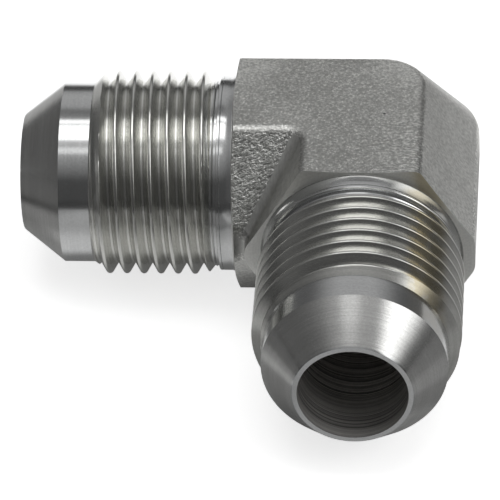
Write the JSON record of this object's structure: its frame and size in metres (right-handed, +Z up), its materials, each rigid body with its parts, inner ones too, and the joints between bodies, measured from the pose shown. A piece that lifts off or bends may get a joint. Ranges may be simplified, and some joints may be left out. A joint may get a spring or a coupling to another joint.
{
  "type": "hydraulic elbow adapter",
  "caption": "Right-angle hydraulic elbow adapter: a forged steel body with wrench flats between equal threaded ends, each with a flare cone and a drilled bore.",
  "frame": {"origin": "on the bottom wrench flat, straight below the point where the two bore axes cross", "axes": "+Z up through the wrench flats, one threaded end along -X, the other threaded end along -Y"},
  "size_m": [0.0421, 0.0421, 0.0189],
  "materials": {
    "plated_steel": "plated steel: fine rough forged skin on the body, bright turned finish on the ends"
  },
  "bodies": {
    "root": {"elbow_body": "plated_steel"}
  },
  "joints": []
}
